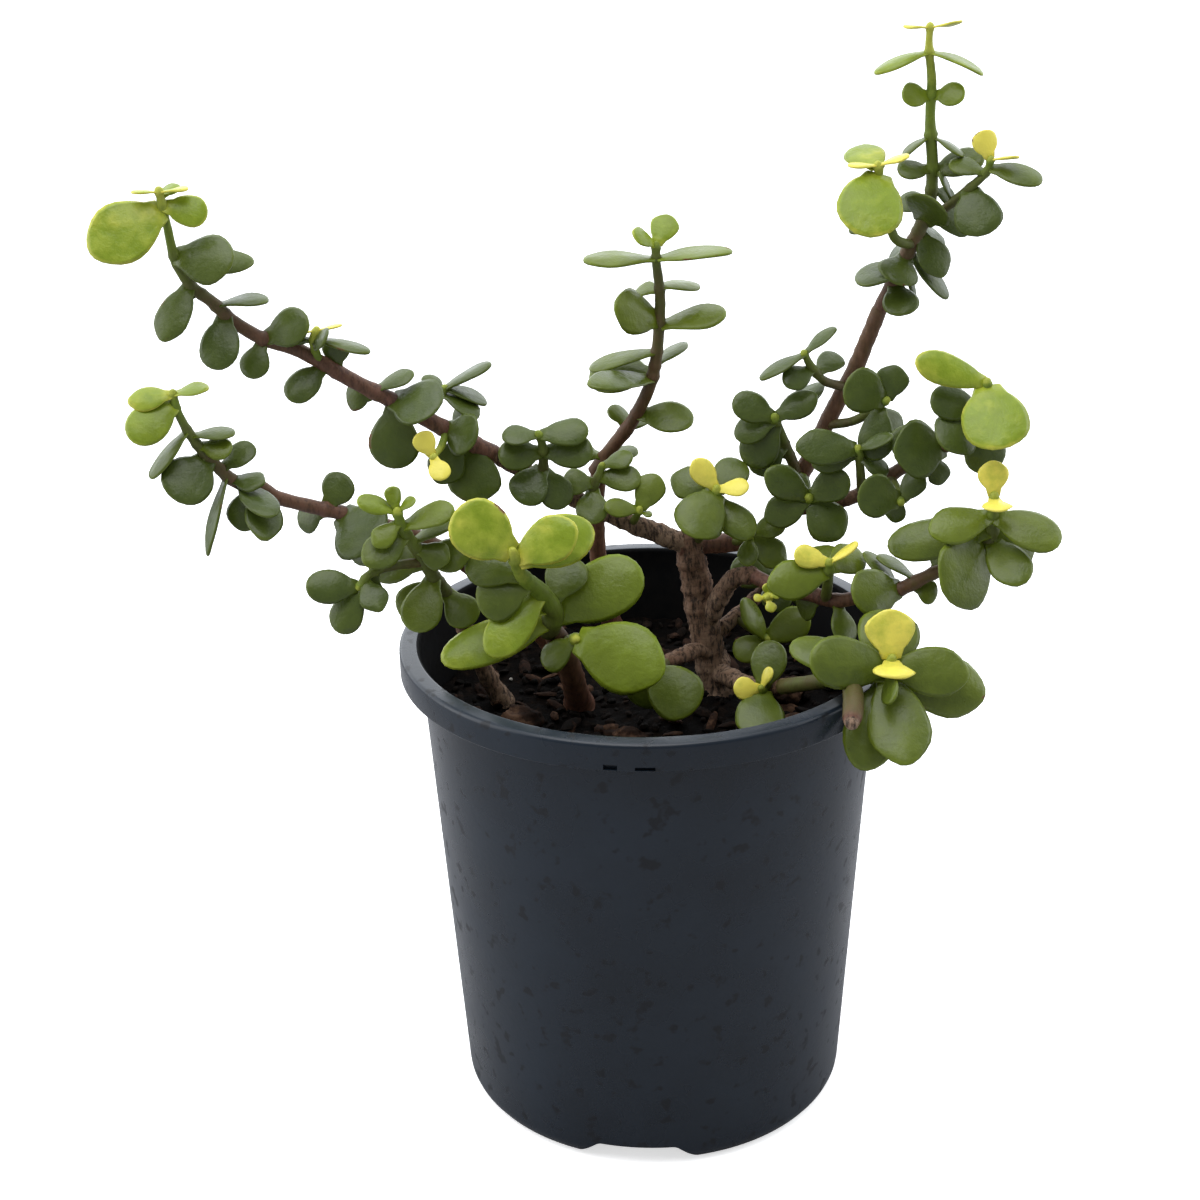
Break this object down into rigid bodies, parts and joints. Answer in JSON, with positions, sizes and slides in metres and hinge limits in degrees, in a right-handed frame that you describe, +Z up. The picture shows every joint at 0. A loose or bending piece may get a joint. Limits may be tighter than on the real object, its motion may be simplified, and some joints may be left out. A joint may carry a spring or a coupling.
{
  "type": "potted elephant bush",
  "caption": "Young succulent shrub with plump round leaves on forking woody stems, growing in a tapered plastic nursery pot of potting mix.",
  "frame": {"origin": "centre of the pot's flat underside", "axes": "+Z up along the pot's axis, -Y towards the plant's front, +X to its right"},
  "size_m": [0.2475, 0.14, 0.3044],
  "materials": {
    "black_plastic": "satin",
    "potting_mix": "matte",
    "bark_chip": "matte",
    "bark": "matte",
    "young_bark": "satin",
    "leaf_dark": "satin",
    "leaf_olive": "satin",
    "leaf_lime": "satin",
    "leaf_yellow": "satin"
  },
  "bodies": {
    "root": {"pot": "black_plastic", "potting_mix": "potting_mix", "bark_chip_front": "bark_chip", "bark_chip_left": "bark_chip", "bark_chip_middle": "bark_chip", "bark_chip_back": "bark_chip", "bark_chip_right": "bark_chip", "bark_chip_right_front": "bark_chip", "trunk": "bark", "back_stem": "young_bark", "front_stem": "young_bark", "left_front_stem": "bark", "left_low_branch": "young_bark", "left_long_branch": "bark", "right_tall_branch": "young_bark", "ringed_branch": "bark", "right_middle_branch": "young_bark", "right_front_stem": "bark", "low_left_spur": "bark", "low_right_spur": "bark", "front_lime_shoot": "leaf_lime", "front_broad_leaf_shoot": "leaf_lime", "right_front_shoot": "leaf_olive", "broken_front_twig": "leaf_olive", "right_low_shoot": "leaf_olive", "right_low_upright": "leaf_olive", "right_low_bud": "leaf_yellow", "right_middle_shoot": "leaf_dark", "right_middle_twig": "leaf_dark", "right_top_shoot": "leaf_dark", "top_left_twig": "leaf_lime", "top_right_twig": "leaf_dark", "tall_left_twig": "leaf_dark", "tall_bushy_twig": "leaf_dark", "tall_right_twig": "leaf_dark", "middle_upright_twig": "leaf_dark", "middle_front_twig": "leaf_dark", "crown_shoot": "leaf_olive", "crown_right_twig": "leaf_olive", "centre_shoot": "leaf_olive", "branch_top_twig": "leaf_dark", "branch_middle_twig": "leaf_dark", "branch_right_twig": "leaf_olive", "left_upper_shoot": "leaf_dark", "left_side_sprout": "leaf_yellow", "left_node_twig": "leaf_dark", "left_middle_sprout": "leaf_yellow", "left_low_shoot": "leaf_dark", "left_front_shoot": "leaf_olive", "left_front_side_twig": "leaf_dark", "low_left_leaf_twig": "leaf_dark", "low_right_leaf_twig": "leaf_dark", "low_back_leaf_twig": "leaf_dark", "low_middle_leaf_twig": "leaf_olive"}
  },
  "joints": []
}
